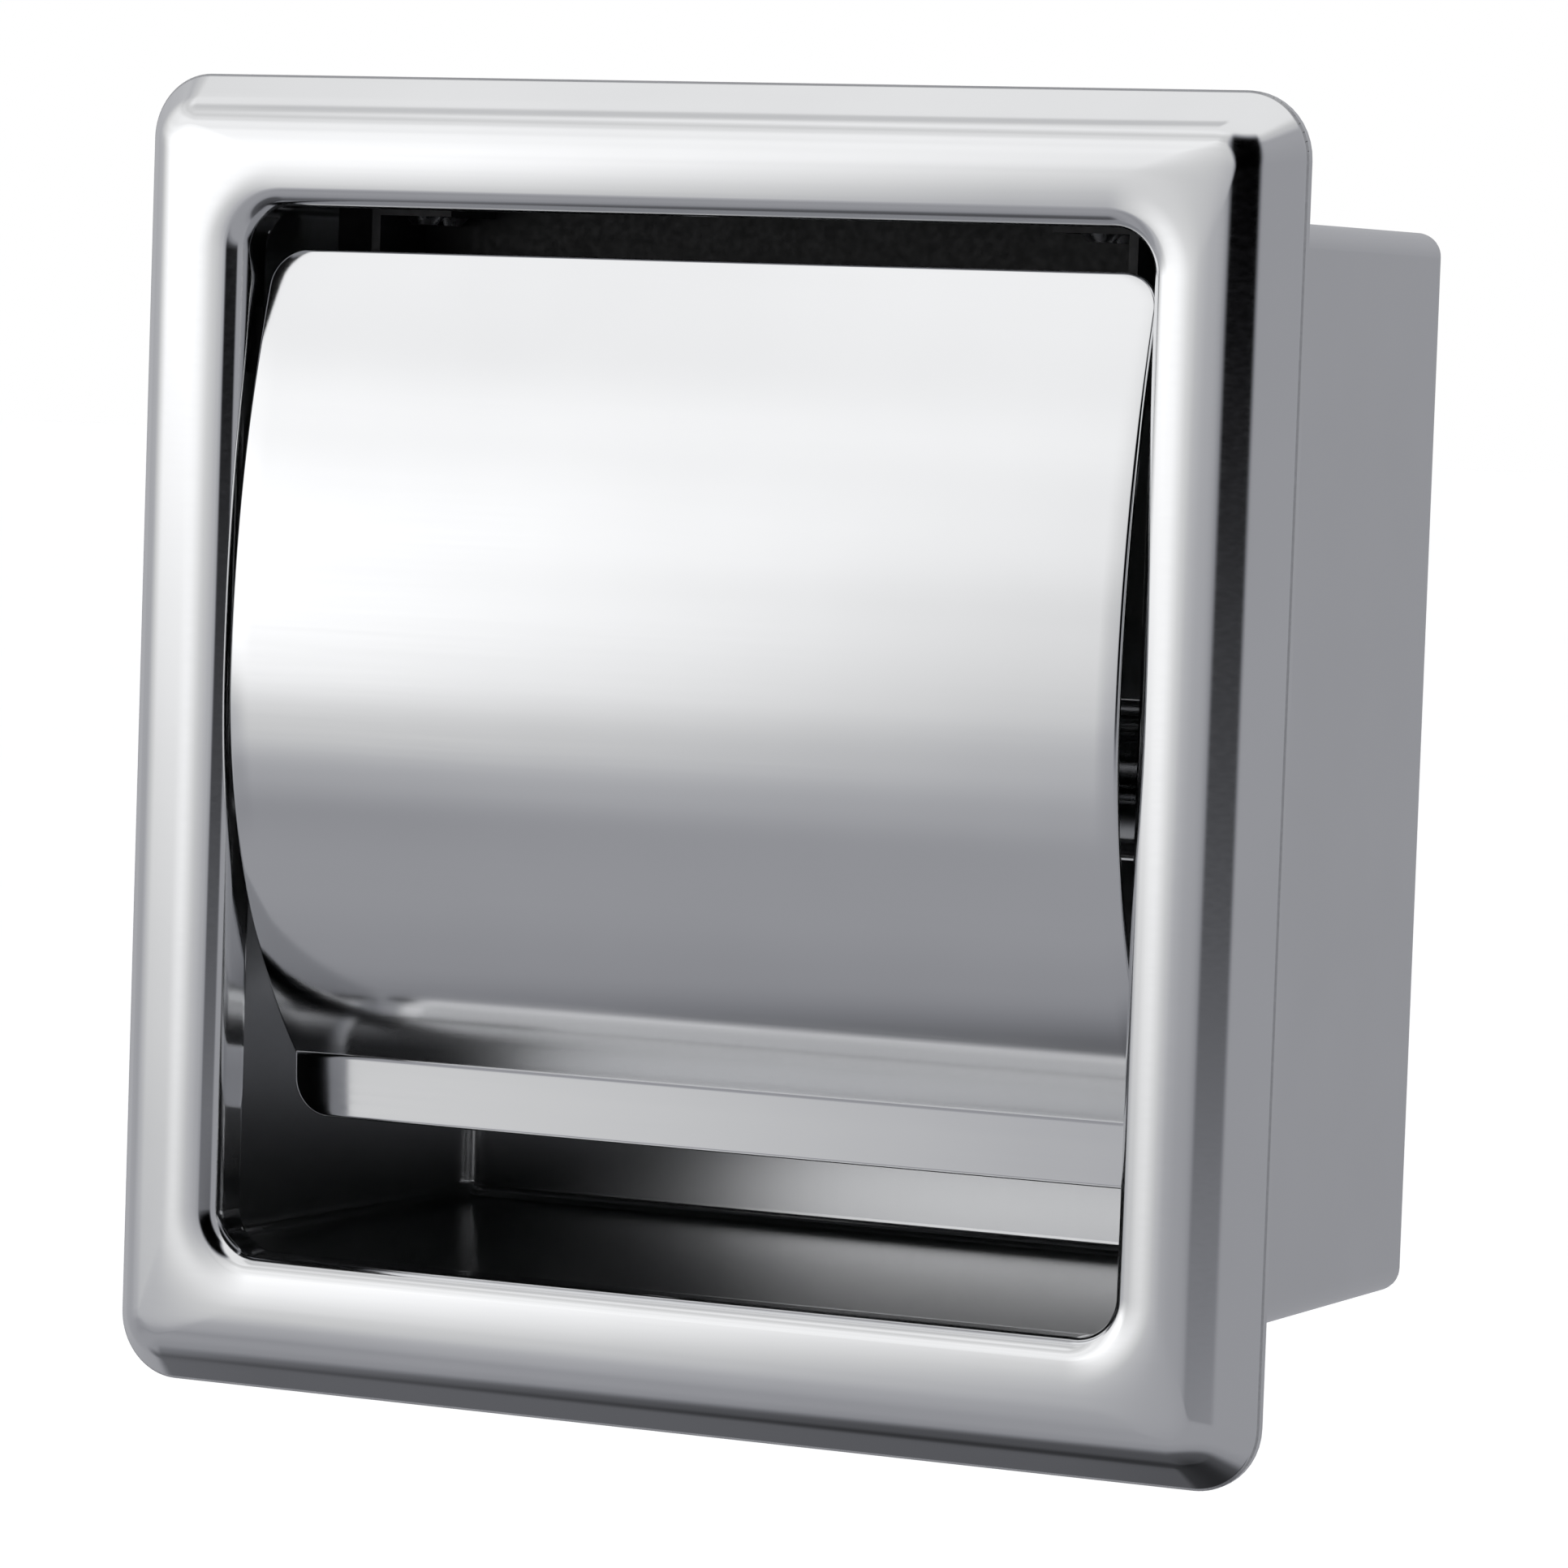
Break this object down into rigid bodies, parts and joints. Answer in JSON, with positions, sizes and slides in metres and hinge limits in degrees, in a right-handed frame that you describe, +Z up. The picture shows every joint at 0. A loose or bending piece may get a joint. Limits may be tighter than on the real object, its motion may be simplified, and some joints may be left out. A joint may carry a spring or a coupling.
{
  "type": "recessed toilet paper holder",
  "caption": "Recessed toilet paper holder: polished frame round an in-wall box, with a curved hood hinged at its top over a spring-loaded roller.",
  "frame": {"origin": "centre of the trim frame, on the wall's surface, which the wall flange lies on", "axes": "+Z up, +Y into the wall along the box's depth, +X to the right of a person who faces the holder"},
  "size_m": [0.155, 0.0802, 0.1634],
  "materials": {
    "polished_steel": "mirror-polished stainless steel",
    "satin_steel": "smooth satin stainless steel, bright inside",
    "hinge_steel": "drawn stainless steel",
    "spring_steel": "spring steel",
    "black_bracket": "black dip coat, satin",
    "bumper_rubber": "matte",
    "rivet_metal": "satin",
    "roller_chrome": "polished",
    "knob_plastic": "moulded, satin",
    "socket_plastic": "moulded, satin"
  },
  "bodies": {
    "housing": {"bezel_frame": "polished_steel", "wall_flange": "polished_steel", "housing_box": "satin_steel", "hinge_rod": "hinge_steel", "rod_clip_left": "spring_steel", "rod_clip_right": "spring_steel", "hinge_bracket_left": "black_bracket", "hinge_bracket_right": "black_bracket", "hood_bumper_left": "bumper_rubber", "hood_bumper_right": "bumper_rubber", "bracket_rivets": "rivet_metal", "header_strip": "black_bracket", "roller_socket_left": "socket_plastic", "roller_socket_right": "socket_plastic", "socket_rivets": "rivet_metal"},
    "hood": {"hood_cover": "polished_steel", "hood_knuckle_left": "hinge_steel", "hood_knuckle_right": "hinge_steel"},
    "roller": {"roller_barrel": "roller_chrome", "roller_knob_left": "knob_plastic", "roller_spring": "spring_steel"},
    "roller_end": {"roller_sleeve": "roller_chrome", "roller_knob_right": "knob_plastic"}
  },
  "joints": [
    {"name": "hood_swing", "type": "hinge", "parent": "housing", "child": "hood", "pos_m": [0, 0.00225, 0.0573], "axis": [-1, 0, 0], "range_deg": [0, 80]},
    {"name": "roller_spin", "type": "hinge", "parent": "housing", "child": "roller", "pos_m": [0, 0.018, 0], "axis": [1, 0, 0], "continuous": true},
    {"name": "roller_compress", "type": "slide", "parent": "roller", "child": "roller_end", "axis": [-1, 0, 0], "range_m": [0, 0.009], "stiffness_N_per_m": 300, "springref_m": -0.02, "deforming": ["roller_spring"]}
  ]
}
